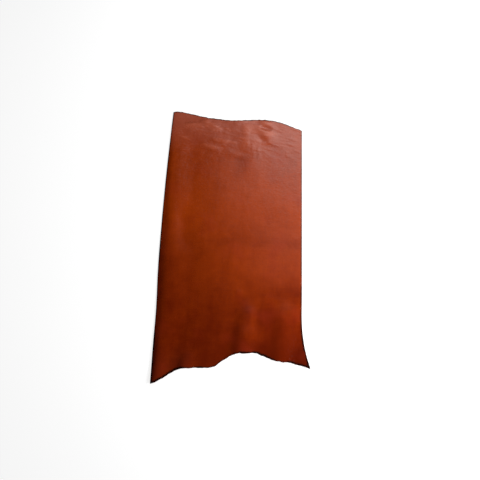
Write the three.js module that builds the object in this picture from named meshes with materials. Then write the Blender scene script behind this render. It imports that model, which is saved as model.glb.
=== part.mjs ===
// Quarter side of vegetable-tanned leather, lying grain side up on a flat surface.
//
// A side is half a hide, split along the backbone. Cut in four across its length, it gives quarter sides:
// one piece each, with a straight knife cut down both long sides, the back edge at one end, and at the other
// the belly edge, with its two pointed flanks and the arch between them.
//
// Millimetres. +Z is up and the flesh side rests on Z = 0. +Y runs from the belly edge to the back edge.
// The origin lies under the middle of the piece.

import * as THREE from 'three';
import { mergeVertices } from 'three/addons/utils/BufferGeometryUtils.js';

// Driving dimensions
const LEFT_CUT = -275.5; // x of the left cut near the belly
const LEFT_BOW = 7; // how far the left cut bows outwards half way along
const RIGHT_CUT = 255.5; // x of the right cut, which is straight down to the flank
const BACK_THICKNESS = 3.0; // the leather is firm and thick along the back
const BELLY_THICKNESS = 2.4; // and thinner towards the belly
const BACK_REACH = 535; // y of the furthest point of the back edge
const BELLY_REACH = -535; // y of the furthest point of the belly edge

// The corners of the cut piece
const BACK_LEFT = new THREE.Vector3(LEFT_CUT + 3, BACK_REACH - 3, 0);
const BACK_RIGHT = new THREE.Vector3(RIGHT_CUT, 467, 0);
const BELLY_LEFT = new THREE.Vector3(LEFT_CUT + 2, BELLY_REACH, 0);
const BELLY_RIGHT = new THREE.Vector3(284.5, -467, 0);

// The back edge, from the left cut to the right one: a long dip and a low hump.
const BACK_EDGE = [
  BACK_LEFT,
  { x: -252, y: BACK_REACH },
  { x: -190, y: 526 },
  { x: -140, y: 514 },
  { x: -85, y: 507 },
  { x: -25, y: 502 },
  { x: 45, y: 509 },
  { x: 105, y: 511 },
  { x: 150, y: 505 },
  { x: 205, y: 488 },
  BACK_RIGHT,
];

// The belly edge, from the left flank's point to the right one's, over the arch.
const BELLY_EDGE = [
  BELLY_LEFT,
  { x: -256, y: -530 },
  { x: -220, y: -507 },
  { x: -188, y: -486 },
  { x: -130, y: -477 },
  { x: -65, y: -474 },
  { x: -36, y: -458 },
  { x: -8, y: -437 },
  { x: 20, y: -423 },
  { x: 55, y: -422 },
  { x: 92, y: -419 },
  { x: 120, y: -428 },
  { x: 155, y: -442 },
  { x: 215, y: -449 },
  { x: 250, y: -455 },
  BELLY_RIGHT,
];

// The left cut, from the belly up: the knife wandered outwards half way along.
const LEFT_EDGE = [
  BELLY_LEFT,
  { x: LEFT_CUT, y: -400 },
  { x: LEFT_CUT, y: -270 },
  { x: LEFT_CUT - 0.8 * LEFT_BOW, y: -130 },
  { x: LEFT_CUT - LEFT_BOW, y: 70 },
  { x: LEFT_CUT - 0.7 * LEFT_BOW, y: 270 },
  { x: LEFT_CUT, y: 440 },
  BACK_LEFT,
];

// The right cut, from the belly up: the flank flares out to its point, the rest is one straight cut.
const RIGHT_EDGE = [
  BELLY_RIGHT,
  { x: 269, y: -412 },
  { x: 260, y: -360 },
  { x: RIGHT_CUT, y: -308 },
  { x: RIGHT_CUT, y: -200 },
  { x: RIGHT_CUT, y: 300 },
  BACK_RIGHT,
];

// The roll along the left cut, section by section from the belly up: where its crest lies, how high the
// flesh side stands there, and how far its flanks reach, outwards to the cut and inwards.
const ROLL = [
  { y: -540, crest: -262, rise: 11, outer: 28, inner: 50 },
  { y: -450, crest: -256, rise: 10, outer: 30, inner: 54 },
  { y: -370, crest: -250, rise: 8, outer: 38, inner: 84 },
  { y: -270, crest: -242, rise: 8, outer: 50, inner: 92 },
  { y: -170, crest: -242, rise: 8, outer: 50, inner: 92 },
  { y: -80, crest: -246, rise: 7, outer: 46, inner: 115 },
  { y: 10, crest: -247, rise: 6.5, outer: 44, inner: 62 },
  { y: 80, crest: -248, rise: 6.5, outer: 42, inner: 56 },
  { y: 160, crest: -256, rise: 5.5, outer: 34, inner: 95 },
  { y: 300, crest: -262, rise: 5, outer: 28, inner: 100 },
  { y: 440, crest: -268, rise: 4, outer: 22, inner: 90 },
  { y: 540, crest: -268, rise: 2, outer: 22, inner: 90 },
];

// Soft ridges in the lie of the leather. Each runs from one point to another, with its rise above the
// surface at both ends, and its half breadth on the left and the right hand of its run, one side steeper than
// the other. Between the ridges the flesh side lies flat.
const FOLDS = [
  { name: 'belly ripple', x0: -164, y0: -486, x1: -157, y1: -448, rise0: 6, rise1: 3, left: 32, right: 46 },
  { name: 'arch ripple', x0: 38, y0: -428, x1: 47, y1: -352, rise0: 11, rise1: 8, left: 54, right: 66 },
  { name: 'arch ripple end', x0: 47, y0: -352, x1: 56, y1: -285, rise0: 8, rise1: 5, left: 50, right: 50 },
  { name: 'flank ripple', x0: 177, y0: -448, x1: 190, y1: -280, rise0: 8, rise1: 5, left: 46, right: 72 },
  { name: 'right curl', x0: 286, y0: -470, x1: 264, y1: -370, rise0: 10, rise1: 0, left: 44, right: 30 },
  { name: 'back swell', x0: -50, y0: 470, x1: -258, y1: 474, rise0: 1, rise1: 4, left: 80, right: 36 },
  { name: 'back crease', x0: -134, y0: 488, x1: -82, y1: 458, rise0: 3, rise1: 1.5, left: 24, right: 56 },
  { name: 'slant fold', x0: 0, y0: 490, x1: 54, y1: 428, rise0: 2.8, rise1: 2.6, left: 44, right: 80 },
  { name: 'slant tail', x0: 54, y0: 428, x1: 64, y1: 300, rise0: 2.6, rise1: 1, left: 60, right: 64 },
  { name: 'edge pinch', x0: 104, y0: 496, x1: 136, y1: 478, rise0: 2, rise1: 3, left: 22, right: 24 },
  { name: 'inner pinch', x0: 84, y0: 458, x1: 112, y1: 437, rise0: 2, rise1: 4.5, left: 28, right: 40 },
  { name: 'pinch tail', x0: 112, y0: 437, x1: 156, y1: 416, rise0: 4.5, rise1: 1, left: 30, right: 46 },
];
const FOLD_MERGE = 6; // how firmly the higher of two folds prevails where they meet

// Facets
const CELLS_ACROSS = 50;
const CELLS_ALONG = 50;
const LEFT_BUNCHING = 0.4; // draws the columns together towards the rolled left side
const END_BUNCHING = 0.5; // draws the rows together towards the two uneven ends

const { lerp, clamp, smoothstep } = THREE.MathUtils;

// A smooth curve in the plane through a row of points.
function edgeThrough(points) {
  const knots = points.map(({ x, y }) => new THREE.Vector3(x, y, 0));
  return new THREE.CatmullRomCurve3(knots, false, 'centripetal');
}

const edges = {
  left: edgeThrough(LEFT_EDGE),
  right: edgeThrough(RIGHT_EDGE),
  belly: edgeThrough(BELLY_EDGE),
  back: edgeThrough(BACK_EDGE),
};

// The place in the plane at a share across (0 left, 1 right) and along (0 belly, 1 back), blended from the
// four edges, so that the rows and columns of the sheet follow its outline.
function placeOnSheet(across, along) {
  const belly = edges.belly.getPointAt(across);
  const back = edges.back.getPointAt(across);
  const left = edges.left.getPointAt(along);
  const right = edges.right.getPointAt(along);
  const endToEnd = belly.lerp(back, along);
  const sideToSide = left.lerp(right, across);
  const nearCorners = BELLY_LEFT.clone().lerp(BELLY_RIGHT, across);
  const farCorners = BACK_LEFT.clone().lerp(BACK_RIGHT, across);
  return endToEnd.add(sideToSide).sub(nearCorners.lerp(farCorners, along));
}

// The section of every fold: rounded at the crest, and running out flat at the full reach of its flank.
function roundedSection(away, reach) {
  return Math.cos((Math.PI / 2) * Math.min(away / reach, 1)) ** 2;
}

// How high one fold stands at a point. Around its ends the half breadth goes over from one hand to the other.
function riseOfFold(fold, point) {
  const start = new THREE.Vector3(fold.x0, fold.y0, 0);
  const run = new THREE.Vector3(fold.x1, fold.y1, 0).sub(start);
  const share = clamp(point.clone().sub(start).dot(run) / run.lengthSq(), 0, 1);
  const offset = point.clone().sub(start.addScaledVector(run, share));
  const hand = run.normalize().cross(offset.clone().normalize()).z; // 1 on the left, -1 on the right
  const half = lerp(fold.right, fold.left, (1 + hand) / 2);
  return lerp(fold.rise0, fold.rise1, share) * roundedSection(offset.length(), half);
}

// How high the roll stands at a point, between the two sections that the point lies between.
function riseOfRoll(point) {
  const far = Math.max(ROLL.findIndex((section) => point.y <= section.y), 1);
  const [below, above] = ROLL.slice(far - 1, far + 1);
  const share = smoothstep(point.y, below.y, above.y);
  const away = point.x - lerp(below.crest, above.crest, share);
  const reach = away < 0 ? lerp(below.outer, above.outer, share) : lerp(below.inner, above.inner, share);
  return lerp(below.rise, above.rise, share) * roundedSection(Math.abs(away), reach);
}

// How high the flesh side stands at a point, where the higher of two folds that meet prevails.
function riseOfSheet(point) {
  const rises = [riseOfRoll(point), ...FOLDS.map((fold) => riseOfFold(fold, point))];
  return rises.reduce((sum, rise) => sum + rise ** FOLD_MERGE, 0) ** (1 / FOLD_MERGE);
}

// One sheet of leather: a box of one unit whose points are moved to their place on the sheet, the lower ones
// to the flesh side and the upper ones to the grain side.
function leatherSheet() {
  const box = new THREE.BoxGeometry(1, 1, 1, CELLS_ACROSS, CELLS_ALONG, 1);
  box.deleteAttribute('normal');
  box.deleteAttribute('uv');
  const sheet = mergeVertices(box);
  const points = sheet.getAttribute('position');
  for (let i = 0; i < points.count; i++) {
    const column = clamp(points.getX(i) + 0.5, 0, 1);
    const row = clamp(points.getY(i) + 0.5, 0, 1);
    const across = lerp(column, column ** 2, LEFT_BUNCHING);
    const along = row - (END_BUNCHING * Math.sin(2 * Math.PI * row)) / (2 * Math.PI);
    const place = placeOnSheet(across, along);
    const fleshSide = riseOfSheet(place);
    const grainSide = fleshSide + lerp(BELLY_THICKNESS, BACK_THICKNESS, along);
    points.setXYZ(i, place.x, place.y, points.getZ(i) > 0 ? grainSide : fleshSide);
  }
  sheet.computeVertexNormals();
  return sheet;
}

const chestnutLeather = new THREE.MeshStandardMaterial({ color: 0x822e12, roughness: 0.55, metalness: 0 });

const quarterSide = new THREE.Mesh(leatherSheet(), chestnutLeather);
quarterSide.name = 'quarter_side';

const part = new THREE.Group();
part.add(quarterSide);

export default part;
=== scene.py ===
"""A quarter side of vegetable-tanned leather, laid grain side up on a pale studio floor, seen from above."""

from collections import Counter, namedtuple
from functools import cached_property
from math import cos, prod, radians, sin

import bpy
import numpy as np
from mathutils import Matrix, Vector
from mathutils.kdtree import KDTree


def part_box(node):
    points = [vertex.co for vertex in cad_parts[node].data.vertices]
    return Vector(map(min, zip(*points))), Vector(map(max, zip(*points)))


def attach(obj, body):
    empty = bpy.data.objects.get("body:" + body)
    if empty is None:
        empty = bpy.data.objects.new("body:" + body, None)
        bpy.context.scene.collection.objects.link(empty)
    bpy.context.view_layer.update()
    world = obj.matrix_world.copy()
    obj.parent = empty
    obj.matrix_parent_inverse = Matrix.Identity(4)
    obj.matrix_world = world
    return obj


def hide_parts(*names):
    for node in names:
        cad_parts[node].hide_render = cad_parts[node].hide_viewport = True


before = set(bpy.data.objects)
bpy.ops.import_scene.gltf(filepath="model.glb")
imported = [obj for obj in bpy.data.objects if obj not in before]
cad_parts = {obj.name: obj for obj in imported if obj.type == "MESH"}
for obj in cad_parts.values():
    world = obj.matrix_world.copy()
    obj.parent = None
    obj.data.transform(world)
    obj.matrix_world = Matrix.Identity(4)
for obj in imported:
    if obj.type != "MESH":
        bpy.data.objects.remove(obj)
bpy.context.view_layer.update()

# The quarter side
# One piece of a cow's hide, tanned with bark, dyed through, waxed, and cut across the side with a knife.
# It lies loose on its flesh side. Its folds are the solid's, and the finer creases are added here.


def finish_with(piece, kind, **settings):
    """Give a piece a modifier and apply it."""
    modifier = piece.modifiers.new(kind.title(), kind)
    for name, value in settings.items():
        setattr(modifier, name, value)
    bpy.ops.object.modifier_apply(modifier=modifier.name)


# The grain side of the solid, as a grid of quads that is smoothed to cells of about 3 mm
same_point = 1e-5
facing_up = 0.5
smoothing = 2
hide = bpy.data.objects.new("leather_quarter_side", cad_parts["quarter_side"].data.copy())
bpy.context.scene.collection.objects.link(hide)
bpy.ops.object.select_all(action="DESELECT")
hide.select_set(True)
bpy.context.view_layer.objects.active = hide
bpy.context.tool_settings.mesh_select_mode = (False, False, True)
bpy.ops.object.mode_set(mode="EDIT")
bpy.ops.mesh.select_all(action="SELECT")
bpy.ops.mesh.remove_doubles(threshold=same_point)
bpy.ops.object.mode_set(mode="OBJECT")
for face in hide.data.polygons:
    face.select = face.normal.z < facing_up
bpy.ops.object.mode_set(mode="EDIT")
bpy.ops.mesh.delete(type="FACE")
bpy.ops.mesh.select_all(action="SELECT")
bpy.ops.mesh.tris_convert_to_quads(
    face_threshold=radians(60), shape_threshold=radians(90), topology_influence=1.5
)
bpy.ops.object.mode_set(mode="OBJECT")
finish_with(
    hide, "SUBSURF", levels=smoothing, render_levels=smoothing, boundary_smooth="PRESERVE_CORNERS"
)

# Creases of handling, in metres: where each starts and ends, how high it rises or, below 0, how deep it
# dips, and its half breadth on the left and the right hand of its run
Crease = namedtuple("Crease", "x0 y0 x1 y1 rise left right")
creases = [
    # Along the back, from the left cut to the slanting fold
    Crease(-0.252, 0.472, -0.124, 0.484, 0.0016, 0.012, 0.030),
    Crease(-0.142, 0.496, -0.066, 0.460, 0.0018, 0.012, 0.030),
    Crease(-0.215, 0.459, -0.148, 0.443, 0.0006, 0.012, 0.026),
    Crease(-0.235, 0.424, -0.168, 0.407, 0.0005, 0.012, 0.026),
    Crease(-0.160, 0.398, -0.066, 0.372, 0.0014, 0.012, 0.026),
    Crease(-0.118, 0.426, 0.000, 0.399, 0.0015, 0.010, 0.026),
    Crease(-0.064, 0.364, 0.046, 0.343, 0.0008, 0.011, 0.026),
    Crease(-0.030, 0.402, 0.032, 0.384, 0.0005, 0.010, 0.020),
    # The crest of the slanting fold, and the strokes that run down from it
    Crease(0.006, 0.494, 0.064, 0.430, 0.0008, 0.013, 0.030),
    Crease(0.028, 0.464, 0.042, 0.362, 0.0011, 0.022, 0.042),
    Crease(0.054, 0.430, 0.062, 0.336, 0.0005, 0.016, 0.012),
    Crease(0.078, 0.410, 0.084, 0.326, 0.0005, 0.014, 0.012),
    Crease(0.102, 0.392, 0.110, 0.326, 0.0004, 0.016, 0.012),
    # The pinch: its ridge, its lip, the valley between them and the dip below them
    Crease(0.010, 0.486, 0.159, 0.444, 0.0032, 0.020, 0.032),
    Crease(0.076, 0.503, 0.140, 0.490, 0.0024, 0.014, 0.024),
    Crease(0.080, 0.476, 0.136, 0.465, -0.0033, 0.014, 0.013),
    Crease(0.076, 0.424, 0.120, 0.416, -0.0018, 0.016, 0.022),
    # From the pinch to the right cut
    Crease(0.106, 0.364, 0.162, 0.330, 0.0005, 0.012, 0.026),
    Crease(0.160, 0.406, 0.232, 0.318, 0.0004, 0.013, 0.026),
    # Towards the belly
    Crease(0.100, -0.210, 0.204, -0.234, 0.0005, 0.012, 0.026),
    Crease(0.008, -0.195, 0.038, -0.203, 0.0006, 0.011, 0.020),
    Crease(-0.170, -0.540, -0.150, -0.420, 0.0018, 0.028, 0.036),
]


def rise_of(crease, places):
    """How high a crease stands at each place: round in section, and running out at both ends."""
    start = np.array((crease.x0, crease.y0))
    run = np.array((crease.x1, crease.y1)) - start
    share = np.clip((places - start) @ run / (run @ run), 0, 1)
    offset = places - start - share[:, None] * run
    away = np.maximum(np.linalg.norm(offset, axis=1), same_point)
    hand = (run[0] * offset[:, 1] - run[1] * offset[:, 0]) / (np.linalg.norm(run) * away)
    half = crease.right + (crease.left - crease.right) * (1 + hand) / 2
    return crease.rise * np.sin(np.pi * share) * np.cos(np.pi / 2 * np.clip(away / half, 0, 1)) ** 2


# Fine wrinkles scattered along the back, in metres and degrees: the nearer to its edge the higher, and the
# further to the right the more slanted
wrinkle_count = 160
wrinkle_seed = 5
wrinkled_left = -0.265
wrinkled_width = 0.500
wrinkled_front = 0.330
wrinkled_reach = 0.170
wrinkle_lengths = (0.026, 0.070)
wrinkle_slants = (-16, 8)
slant_to_right = -8
wrinkle_rises = (0.0001, 0.0003)
rise_to_edge = 0.0005
wrinkle_left = 0.006
wrinkle_right = 0.008
scatter = np.random.default_rng(wrinkle_seed)
for _ in range(wrinkle_count):
    across = scatter.uniform(0, 1)
    along = scatter.uniform(0, 1)
    length = scatter.uniform(*wrinkle_lengths)
    slant = radians(scatter.uniform(*wrinkle_slants) + slant_to_right * across)
    rise = scatter.uniform(*wrinkle_rises) + rise_to_edge * along
    x0 = wrinkled_left + wrinkled_width * across
    y0 = wrinkled_front + wrinkled_reach * along
    x1 = x0 + length * cos(slant)
    y1 = y0 + length * sin(slant)
    creases.append(Crease(x0, y0, x1, y1, rise, wrinkle_left, wrinkle_right))

points = np.empty((len(hide.data.vertices), 3), np.float32)
hide.data.vertices.foreach_get("co", points.ravel())
lift = sum(rise_of(crease, points[:, :2]) for crease in creases)
points[:, 2] += lift
hide.data.vertices.foreach_set("co", points.ravel())


def mark(piece, name, values):
    """Keep a value for each point of a piece, for its material to read."""
    piece.data.attributes.new(name, "FLOAT", "POINT").data.foreach_set("value", values)


def weigh(piece, name, weights):
    """Give each point of a piece its weight in a group, for a modifier to read."""
    group = piece.vertex_groups.new(name=name)
    for point, weight in enumerate(weights):
        group.add([point], weight, "REPLACE")


# How high the creases stand, for painted highlights along their crests
painted_crest_mark = "rubbed_crest"
full_crest_highlight = 0.0014
mark(hide, painted_crest_mark, np.clip(lift / full_crest_highlight, 0, 1))

# How near each point is to the cut edge, where the knife wandered and the grain is darker, partly with dye
# and partly with painted shade
edge_mark = "edge_nearness"
trim_group = "trim"
edge_band = 0.012
uses_of_edge = Counter(key for face in hide.data.polygons for key in face.edge_keys)
rim = sorted({point for key, uses in uses_of_edge.items() if uses == 1 for point in key})
outline = KDTree(len(rim))
for point in rim:
    outline.insert(hide.data.vertices[point].co, point)
outline.balance()
nearness = [max(0, 1 - outline.find(point.co)[2] / edge_band) for point in hide.data.vertices]
mark(hide, edge_mark, nearness)
weigh(hide, trim_group, nearness)

# The thickness grows from the belly to the back
back_thickness = 0.0030
belly_thickness = 0.0024
firmness_group = "firmness"
low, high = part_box("quarter_side")
weigh(hide, firmness_group, [(point.co.y - low.y) / (high.y - low.y) for point in hide.data.vertices])

# Slow swells and short waves in the lie of the leather, and the two ends that a knife followed by hand
Swell = namedtuple("Swell", "name size height level direction where")
swells = [
    Swell("slow swells", 0.090, 0.0009, 0.35, "Z", ""),
    Swell("short waves", 0.025, 0.0003, 0.35, "Z", ""),
    Swell("uneven trim", 0.018, 0.0060, 0.50, "Y", trim_group),
]
for swell in swells:
    clouds = bpy.data.textures.new(swell.name, "CLOUDS")
    clouds.noise_scale = swell.size
    clouds.noise_depth = 1
    finish_with(
        hide, "DISPLACE", texture=clouds, texture_coords="LOCAL", direction=swell.direction,
        mid_level=swell.level, strength=swell.height, vertex_group=swell.where,
    )

# The flesh side and the rim, rounded where the knife went through. The three material slots are made first,
# because a new face takes only a slot that is there.
grain_slot, cut_slot, flesh_slot = range(3)
hide.data.materials.clear()
for _ in (grain_slot, cut_slot, flesh_slot):
    hide.data.materials.append(None)
finish_with(
    hide, "SOLIDIFY", thickness=back_thickness, offset=-1, use_even_offset=True, use_rim=True,
    vertex_group=firmness_group, thickness_vertex_group=belly_thickness / back_thickness,
    material_offset=flesh_slot, material_offset_rim=cut_slot,
)
hide.vertex_groups.clear()
for point in hide.data.vertices:
    point.co.z = max(point.co.z, 0)
rim_rounding = 0.0006
bpy.context.tool_settings.mesh_select_mode = (False, True, False)
bpy.ops.object.mode_set(mode="EDIT")
bpy.ops.mesh.select_all(action="DESELECT")
bpy.ops.mesh.edges_select_sharp(sharpness=radians(50))
bpy.ops.mesh.bevel(offset=rim_rounding, segments=2, affect="EDGES", clamp_overlap=True)
bpy.ops.object.mode_set(mode="OBJECT")
bpy.ops.object.shade_smooth_by_angle(angle=radians(40))


class Shade:
    """What a shader node gives out. Sums on it add Math nodes."""

    def __init__(self, socket):
        self.socket = socket

    def math(self, operation, first, second):
        """Add a Math node for two terms, and give what comes out of it."""
        node = self.socket.id_data.nodes.new("ShaderNodeMath")
        node.operation = operation
        for socket, term in zip(node.inputs, (first, second)):
            plug(socket, term)
        return Shade(node.outputs[0])

    def __add__(self, other):
        return self.math("ADD", self, other)

    def __sub__(self, other):
        return self.math("SUBTRACT", self, other)

    def __rsub__(self, other):
        return self.math("SUBTRACT", other, self)

    def __mul__(self, other):
        return self.math("MULTIPLY", self, other)

    __radd__ = __add__
    __rmul__ = __mul__


def plug(socket, value):
    """Link a socket to what a node gives out, or set its value."""
    if isinstance(value, Shade):
        socket.id_data.links.new(value.socket, socket)
    else:
        socket.default_value = value


Stop = namedtuple("Stop", "place colour")


def set_stops(ramp, stops):
    """Give a colour ramp its stops."""
    while len(ramp.elements) < len(stops):
        ramp.elements.new(1)
    for element, stop in zip(ramp.elements, stops):
        element.position = stop.place
        element.color = (*stop.colour, 1)


class Nodes:
    """The shader nodes of a material or a room."""

    def __init__(self, owner):
        owner.use_nodes = True
        self.tree = owner.node_tree
        self.tree.nodes.clear()

    def node(self, kind, settings=(), sockets=()):
        """Add a node with its settings and sockets, and give what comes out of it, by name."""
        node = self.tree.nodes.new("ShaderNode" + kind)
        for name, value in dict(settings).items():
            if name == "stops":
                set_stops(node.color_ramp, value)
            else:
                setattr(node, name, value)
        inputs = {socket.identifier: socket for socket in node.inputs}
        for name, value in dict(sockets).items():
            plug(inputs[name], value)
        return {socket.identifier: Shade(socket) for socket in node.outputs}


class Finish(Nodes):
    """The nodes of one material."""

    def __init__(self, name):
        self.material = bpy.data.materials.new(name)
        super().__init__(self.material)

    @cached_property
    def place(self):
        """Where a point of the piece is, in metres."""
        return self.node("TexCoord")["Object"]

    def marked(self, name):
        """The value that a mark keeps for each point of the piece."""
        return self.node("Attribute", {"attribute_name": name})["Fac"]

    def noise(self, size, detail=2.0, roughness=0.5, drawn=(1, 1, 1)):
        """Soft noise, from 0 to 1, with features of about a size in metres, drawn out along the axes."""
        place = self.node("VectorMath", {"operation": "DIVIDE"}, {"Vector": self.place, "Vector_001": drawn})
        sockets = {"Vector": place["Vector"], "Scale": 1 / size, "Detail": detail, "Roughness": roughness}
        return self.node("TexNoise", {}, sockets)["Fac"]

    def smooth_step(self, value, start, end):
        """From 0 at the start to 1 at the end, and level past them."""
        sockets = {"Value": value, "From Min": start, "From Max": end}
        return self.node("MapRange", {"interpolation_type": "SMOOTHSTEP"}, sockets)["Result"]

    def colours(self, value, stops):
        """The colour at a value, between stops."""
        return self.node("ValToRGB", {"stops": stops}, {"Fac": value})["Color"]

    def mixed(self, share, first, second):
        """The first colour, with a share of the second."""
        sockets = {"Factor_Float": share, "A_Color": first, "B_Color": second}
        return self.node("Mix", {"data_type": "RGBA"}, sockets)["Result_Color"]

    def surface(self, colour, roughness, height, rest=()):
        """The finished surface, with bumps of a height in metres, and the rest of its sockets."""
        bump = self.node("Bump", {}, {"Height": height, "Distance": 1.0, "Strength": 1.0})
        sockets = {"Base Color": colour, "Roughness": roughness, "Normal": bump["Normal"]}
        shader = self.node("BsdfPrincipled", {}, sockets | dict(rest))
        self.node("OutputMaterial", {}, {"Surface": shader["BSDF"]})
        return self.material


# The grain side: dye that took unevenly, under wax, darker towards the belly and along the cut edge, with
# painted shade and painted highlights where its folds and ripples are.
# A patch on it has a strength, and ramps along the axes from where there is none of it to where it is full.
Patch = namedtuple("Patch", "strength ramps")
Ramp = namedtuple("Ramp", "axis none full")
grain = Finish("waxed grain")
place = grain.node("SeparateXYZ", {}, {"Vector": grain.place})


def inside(*ramps):
    """How far a place on the grain side is up all of some ramps, from 0 to 1."""
    return prod(grain.smooth_step(place[ramp.axis], ramp.none, ramp.full) for ramp in ramps)


def strength_of(patches):
    """How strong all of some patches are together at a place on the grain side."""
    return sum(inside(*patch.ramps) * patch.strength for patch in patches)


# The dye, from deep to pale, and the noise in it: its size in metres, its detail and roughness, how far it
# is drawn out along the axes, and its depth at the belly and at the back
Noise = namedtuple("Noise", "size detail roughness drawn at_belly at_back")
unevenness = [
    Noise(0.200, 3.0, 0.50, (1, 1, 1), 0.160, 0.160),
    Noise(0.045, 4.0, 0.55, (1, 1, 1), 0.120, 0.120),
    Noise(0.006, 3.0, 0.60, (6, 1, 1), 0.060, 0.120),
    Noise(0.006, 3.0, 0.60, (1, 5, 1), 0.040, 0.100),
    Noise(0.030, 2.0, 0.50, (1, 8, 1), 0.072, 0.090),
]
# Darker patches, and below 0 paler ones. Most of them are painted shade and painted highlights on the folds,
# ripples and edges.
dye_shade_and_highlight_patches = [
    # The belly as a whole
    Patch(0.22, [Ramp("Y", 0.200, -0.550)]),
    # The paler middle, the paler place under the pinch, and painted shade beside it, left of the tail of the
    # slanting fold
    Patch(-0.04, [
        Ramp("X", -0.120, 0.000), Ramp("X", 0.180, 0.080),
        Ramp("Y", 0.020, 0.100), Ramp("Y", 0.380, 0.280),
    ]),
    Patch(-0.06, [Ramp("X", 0.000, 0.040), Ramp("X", 0.150, 0.100), Ramp("Y", 0.330, 0.410)]),
    Patch(0.10, [
        Ramp("X", -0.035, 0.010), Ramp("X", 0.055, 0.020),
        Ramp("Y", 0.370, 0.330), Ramp("Y", 0.210, 0.300),
    ]),
    # Painted shade on the roll along the left cut, the left half of the middle darker, a painted highlight
    # on the left flank, and painted shade at its point
    Patch(0.10, [Ramp("X", -0.250, -0.280)]),
    Patch(0.035, [Ramp("X", -0.040, -0.180), Ramp("Y", 0.100, -0.040), Ramp("Y", -0.420, -0.240)]),
    Patch(-0.035, [Ramp("X", -0.155, -0.128), Ramp("X", -0.080, -0.105), Ramp("Y", -0.385, -0.420)]),
    Patch(0.035, [Ramp("X", -0.225, -0.258), Ramp("Y", -0.360, -0.440)]),
    # Painted shade on the right flank, deeper at its point, and along the right cut above it
    Patch(0.12, [Ramp("X", 0.100, 0.270), Ramp("Y", -0.300, -0.420)]),
    Patch(0.09, [Ramp("X", 0.200, 0.270), Ramp("Y", -0.360, -0.430)]),
    Patch(0.04, [Ramp("X", 0.140, 0.260), Ramp("Y", 0.080, -0.060), Ramp("Y", -0.360, -0.200)]),
    # Painted shade on the ripple at the arch and its end, a painted highlight on its right side, and painted
    # shade in the hollow between it and the flank's ripple
    Patch(0.05, [Ramp("X", -0.010, 0.022), Ramp("X", 0.064, 0.038), Ramp("Y", -0.300, -0.345)]),
    Patch(0.045, [
        Ramp("X", 0.022, 0.044), Ramp("X", 0.090, 0.050),
        Ramp("Y", -0.195, -0.235), Ramp("Y", -0.345, -0.260),
    ]),
    Patch(-0.03, [
        Ramp("X", 0.058, 0.085), Ramp("X", 0.130, 0.102),
        Ramp("Y", -0.260, -0.320), Ramp("Y", -0.400, -0.340),
    ]),
    Patch(0.09, [Ramp("X", 0.020, 0.070), Ramp("X", 0.170, 0.120), Ramp("Y", -0.350, -0.410)]),
    Patch(0.07, [
        Ramp("X", 0.075, 0.120), Ramp("X", 0.190, 0.140),
        Ramp("Y", -0.220, -0.280), Ramp("Y", -0.350, -0.300),
    ]),
    # Painted shade of two soft folds across the middle
    Patch(0.05, [Ramp("X", -0.150, 0.050), Ramp("Y", 0.023, -0.012), Ramp("Y", -0.047, -0.012)]),
    Patch(0.055, [Ramp("X", 0.050, 0.270), Ramp("Y", -0.140, -0.200), Ramp("Y", -0.250, -0.200)]),
]
dye_colours = [
    Stop(0.15, (0.100, 0.0060, 0.0001)),
    Stop(0.28, (0.157, 0.0119, 0.0002)),
    Stop(0.50, (0.350, 0.0379, 0.0004)),
    Stop(0.75, (0.540, 0.0640, 0.0015)),
]
middle_dye = 0.495
middle_noise = 0.5
# The dye level, with the painted shade and highlights of the patches taken from it
dye_and_shade_level = middle_dye - strength_of(dye_shade_and_highlight_patches)
towards_back = inside(Ramp("Y", -0.150, 0.250))
for kind in unevenness:
    depth = kind.at_belly + (kind.at_back - kind.at_belly) * towards_back
    dye_and_shade_level = dye_and_shade_level + (grain.noise(kind.size, kind.detail, kind.roughness, kind.drawn) - middle_noise) * depth
dye_shade_and_sheen = grain.colours(dye_and_shade_level, dye_colours)

# A redder cast in broad clouds
cast_size = 0.11
cast_share = 0.25
red_cast = (0.290, 0.0230, 0.0070, 1)
cast = grain.smooth_step(grain.noise(cast_size), start=0.50, end=0.72)
dye_shade_and_sheen = grain.mixed(cast * cast_share, dye_shade_and_sheen, red_cast)

# Painted sheen, a pale colour mixed in: in flecks along the back, and thinly on the right side, the left
# flank and the pinch
fleck_size = 0.008
fleck_reach = 0.05
back_painted_sheen = 0.5
thin_painted_sheen = [
    Patch(0.09, [Ramp("X", -0.020, 0.200), Ramp("Y", 0.160, 0.020), Ramp("Y", -0.240, -0.080)]),
    Patch(0.02, [Ramp("X", -0.090, -0.160), Ramp("Y", -0.380, -0.470)]),
    Patch(0.16, [Ramp("X", 0.030, 0.070), Ramp("X", 0.180, 0.130), Ramp("Y", 0.395, 0.440)]),
]
painted_sheen_colour = (0.47, 0.12, 0.075, 1)
flecks = grain.noise(fleck_size)
sheen_along_back = grain.smooth_step(place["Y"] + flecks * fleck_reach, start=0.35, end=0.55)
dye_shade_and_sheen = grain.mixed(sheen_along_back * back_painted_sheen + strength_of(thin_painted_sheen), dye_shade_and_sheen, painted_sheen_colour)

# Painted highlights along the crests of the creases, less of them towards the belly
crest_highlight_share = 0.28
crest_highlight_colour = (0.62, 0.135, 0.062, 1)
crests = grain.smooth_step(grain.marked(painted_crest_mark), start=0.30, end=1.00)
crest_highlights = crests * inside(Ramp("Y", -0.500, 0.100))
dye_shade_and_sheen = grain.mixed(crest_highlights * crest_highlight_share, dye_shade_and_sheen, crest_highlight_colour)

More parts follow.
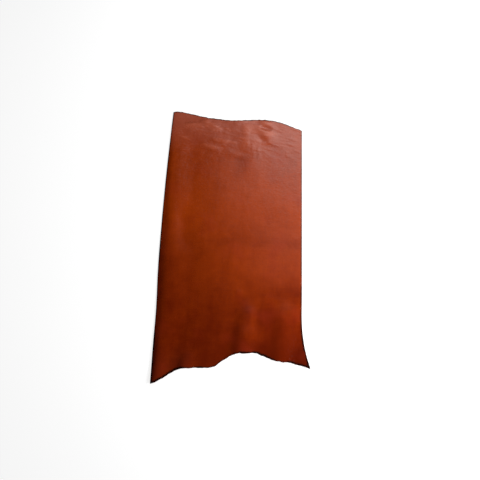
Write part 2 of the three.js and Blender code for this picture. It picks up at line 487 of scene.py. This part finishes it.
# Darker along the cut edge, partly dye and partly painted shade: in places, more of them on the right, in a
# ragged band that is broader towards the belly, where the lifted edge is painted shade, and paler along the
# clean right cut
edge_raggedness = 0.4
patchy_size = 0.060
patchy_on_right = 0.10
shade_breadth_at_belly = 0.30
edge_share = 0.55
patchy_share = 0.40
clean_share = 0.30
edge_dye_and_shade_colour = (0.010, 0.0022, 0.0012, 1)
more_on_right = inside(Ramp("X", 0.060, 0.120)) * patchy_on_right
patchy_dye_and_shade = grain.smooth_step(grain.noise(patchy_size) + more_on_right, start=0.40, end=0.56)
near_edge = grain.marked(edge_mark) + (flecks - middle_noise) * edge_raggedness
broader_shade_at_belly = inside(Ramp("Y", 0.200, -0.550)) * patchy_dye_and_shade * shade_breadth_at_belly
edge_dye_and_shade = grain.smooth_step(near_edge + broader_shade_at_belly, start=0.45, end=0.90)
clean_cut = inside(Ramp("X", 0.200, 0.240), Ramp("Y", -0.380, -0.280))
edge_depth = edge_share + patchy_dye_and_shade * patchy_share - clean_cut * clean_share
dye_shade_and_sheen = grain.mixed(edge_dye_and_shade * edge_depth, dye_shade_and_sheen, edge_dye_and_shade_colour)

# The relief of the grain, in metres: pores, pebbles, and wrinkles that grow towards the back
pores_to_metre = 650.0
pore_height = 0.00005
pebble_size = 0.011
pebble_height = 0.00016
wrinkle_size = 0.005
wrinkle_height = 0.00046
pores = grain.node("TexVoronoi", {"feature": "F1"}, {"Vector": grain.place, "Scale": pores_to_metre})
pebbles = grain.noise(pebble_size, detail=3.0)
wrinkles = grain.noise(wrinkle_size, drawn=(2, 1, 1)) * inside(Ramp("Y", -0.300, 0.400))
relief = pores["Distance"] * pore_height + pebbles * pebble_height + wrinkles * wrinkle_height

# The wax: dull in flecks and clouds, better polished on the left and duller at the back edge
wax_roughness = 0.30
fleck_dulling = 0.10
cloud_size = 0.045
cloud_dulling = 0.07
duller = [
    Patch(-0.09, [Ramp("X", 0.000, -0.220)]),
    Patch(0.06, [Ramp("Y", 0.400, 0.520)]),
]
uneven_wax = (flecks - middle_noise) * fleck_dulling + grain.noise(cloud_size) * cloud_dulling
roughness = wax_roughness + uneven_wax + strength_of(duller)
sheen = {"Specular IOR Level": 0.42, "Specular Tint": (1.0, 0.93, 0.90, 1)}
waxed = grain.surface(dye_shade_and_sheen, roughness, relief, sheen)

# The cut edge: fibres that the knife went through, dark with dye
fibre_size = 0.0007
fibre_height = 0.0003
fibre_roughness = 0.85
fibre_colours = [Stop(0.3, (0.035, 0.008, 0.003)), Stop(0.7, (0.085, 0.020, 0.007))]
cut = Finish("cut edge")
fibres = cut.noise(fibre_size, detail=3.0, roughness=0.6)
cut_edge = cut.surface(cut.colours(fibres, fibre_colours), fibre_roughness, fibres * fibre_height)

# The flesh side: raw, combed fibres
nap_size = 0.002
nap_height = 0.0005
nap_roughness = 0.95
nap_colours = [Stop(0.3, (0.16, 0.05, 0.018)), Stop(0.7, (0.30, 0.11, 0.045))]
flesh = Finish("raw flesh side")
nap = flesh.noise(nap_size, detail=4.0, roughness=0.65)
raw = flesh.surface(flesh.colours(nap, nap_colours), nap_roughness, nap * nap_height)

hide.data.materials[grain_slot] = waxed
hide.data.materials[cut_slot] = cut_edge
hide.data.materials[flesh_slot] = raw
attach(hide, "root")
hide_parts("quarter_side")

# The floor
# A wide, plain studio floor, painted white, that glows a little so that it stays pale away from the windows.
floor_size = 60.0
floor_glow = 0.80
bpy.ops.object.select_all(action="DESELECT")
bpy.ops.mesh.primitive_plane_add(size=floor_size, location=(0, 0, 0))
floor = bpy.context.object
floor.name = "floor"
paint = Finish("white paint")
painted = paint.node(
    "BsdfPrincipled",
    {},
    {
        "Base Color": (0.5, 0.5, 0.5, 1),
        "Roughness": 0.9,
        "Emission Color": (1, 1, 1, 1),
        "Emission Strength": floor_glow,
    },
)
paint.node("OutputMaterial", {}, {"Surface": painted["BSDF"]})
floor.data.materials.append(paint.material)

# The light
# A soft square window close by on the right that leaves no glint, and a larger one further back that does,
# both turned to the middle of the leather. Sizes are in metres and powers in watts.
Window = namedtuple("Window", "name place size power glint")
windows = [
    Window("near window", (0.94, -0.40, 0.65), 0.5, 16.8, False),
    Window("far window", (0.56, 1.20, 1.205), 1.0, 14.6, True),
]
lit_spot = Vector((0, 0.05, 0))
for window in windows:
    lamp = bpy.data.lights.new(window.name, "AREA")
    lamp.shape = "SQUARE"
    lamp.size = window.size
    lamp.energy = window.power
    stand = bpy.data.objects.new(window.name, lamp)
    stand.location = window.place
    stand.visible_camera = False
    stand.visible_glossy = window.glint
    stand.rotation_euler = (lit_spot - Vector(window.place)).to_track_quat("-Z", "Y").to_euler()
    bpy.context.scene.collection.objects.link(stand)

# The room around them lights the leather dimly, and shows as pale as the floor
room = bpy.data.worlds.new("room")
walls = Nodes(room)
dim = walls.node("Background", {}, {"Color": (0.9, 0.9, 0.9, 1), "Strength": 0.01})
pale = walls.node("Background", {}, {"Color": (floor_glow, floor_glow, floor_glow, 1)})
seen = walls.node("LightPath")["Is Camera Ray"]
either = walls.node(
    "MixShader", {}, {"Fac": seen, "Shader": dim["Background"], "Shader_001": pale["Background"]}
)
walls.node("OutputWorld", {}, {"Surface": either["Shader"]})
bpy.context.scene.world = room
bpy.context.scene.view_settings.view_transform = "Standard"

# The camera
# Held at a standing person's head height, looking down at the middle of the picture.
lens_mm = 34.5
sensor_mm = 36.0
aim = Vector((0.0205, -0.003, 0))
distance = 1.748
azimuth = radians(2.09)
elevation = radians(74.27)
back = Vector((sin(azimuth) * cos(elevation), -cos(azimuth) * cos(elevation), sin(elevation)))
view = bpy.data.cameras.new("view")
view.lens = lens_mm
view.sensor_width = sensor_mm
camera = bpy.data.objects.new("camera", view)
camera.location = aim + distance * back
camera.rotation_euler = (-back).to_track_quat("-Z", "Y").to_euler()
bpy.context.scene.collection.objects.link(camera)
bpy.context.scene.camera = camera
